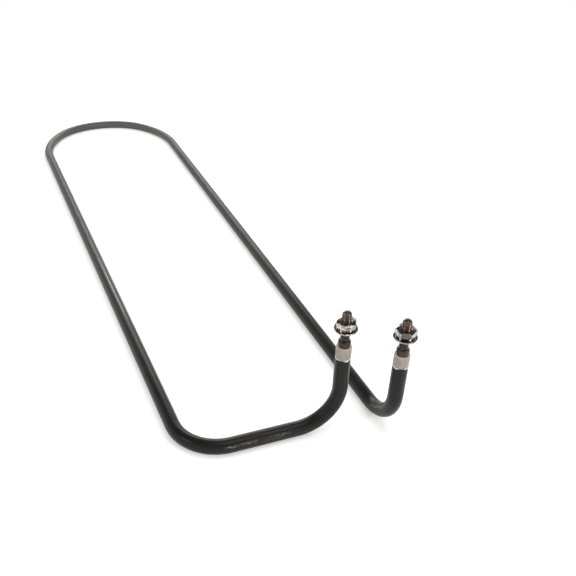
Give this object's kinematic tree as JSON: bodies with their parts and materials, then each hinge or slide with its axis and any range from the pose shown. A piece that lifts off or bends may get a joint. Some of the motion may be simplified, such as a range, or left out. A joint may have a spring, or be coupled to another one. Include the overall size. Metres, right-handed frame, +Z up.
{
  "type": "tubular heating element",
  "caption": "Tubular heating element: a long loop of metal-sheathed tube lying flat, both ends turned up with ceramic collars and threaded terminals carrying washers and hex nuts.",
  "frame": {"origin": "centre of the bounding box at its lowest level, where the loop of tube rests", "axes": "+Z up along the terminals, +Y along the loop from the terminals to the closed end, +X from the left leg to the right leg"},
  "size_m": [0.1388, 0.5692, 0.0739],
  "materials": {
    "sheath": "satin black oxide",
    "powder": "matt packed powder",
    "coil_wire": "drawn resistance wire",
    "cold_pin": "drawn",
    "seal": "matt",
    "collar": "matt unglazed",
    "terminal": "dark brown heat-tinted",
    "fastener": "bright nickel"
  },
  "bodies": {
    "root": {"sheath_tube": "sheath", "magnesia_filling": "powder", "resistance_coil": "coil_wire", "left_cold_pin": "cold_pin", "left_end_seal": "seal", "left_ceramic_collar": "collar", "left_terminal_stud": "terminal", "left_flat_washer": "fastener", "left_lock_washer": "fastener", "left_hex_nut": "fastener", "right_cold_pin": "cold_pin", "right_end_seal": "seal", "right_ceramic_collar": "collar", "right_terminal_stud": "terminal", "right_flat_washer": "fastener", "right_lock_washer": "fastener", "right_hex_nut": "fastener"}
  },
  "joints": []
}
